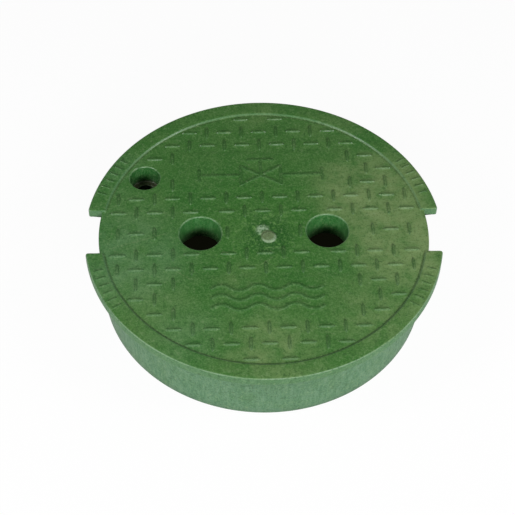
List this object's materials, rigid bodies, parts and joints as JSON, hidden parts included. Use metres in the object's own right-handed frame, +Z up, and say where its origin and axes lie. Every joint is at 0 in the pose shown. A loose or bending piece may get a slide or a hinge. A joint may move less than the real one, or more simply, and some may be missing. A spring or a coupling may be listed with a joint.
{
  "type": "valve box cover",
  "caption": "Round moulded valve box cover with a raised rim, tread lugs, finger holes, a recessed bolt hole, pry notches in an overhanging lip and a deep skirt.",
  "frame": {"origin": "centre of the cover on the plane of the skirt's lower edge", "axes": "+Z up through the tread plate, X through the two finger holes"},
  "size_m": [0.2574, 0.26, 0.0589],
  "materials": {
    "green_plastic": "weathered satin moulding with a fine grain"
  },
  "bodies": {
    "root": {"valve_box_cover": "green_plastic"}
  },
  "joints": []
}
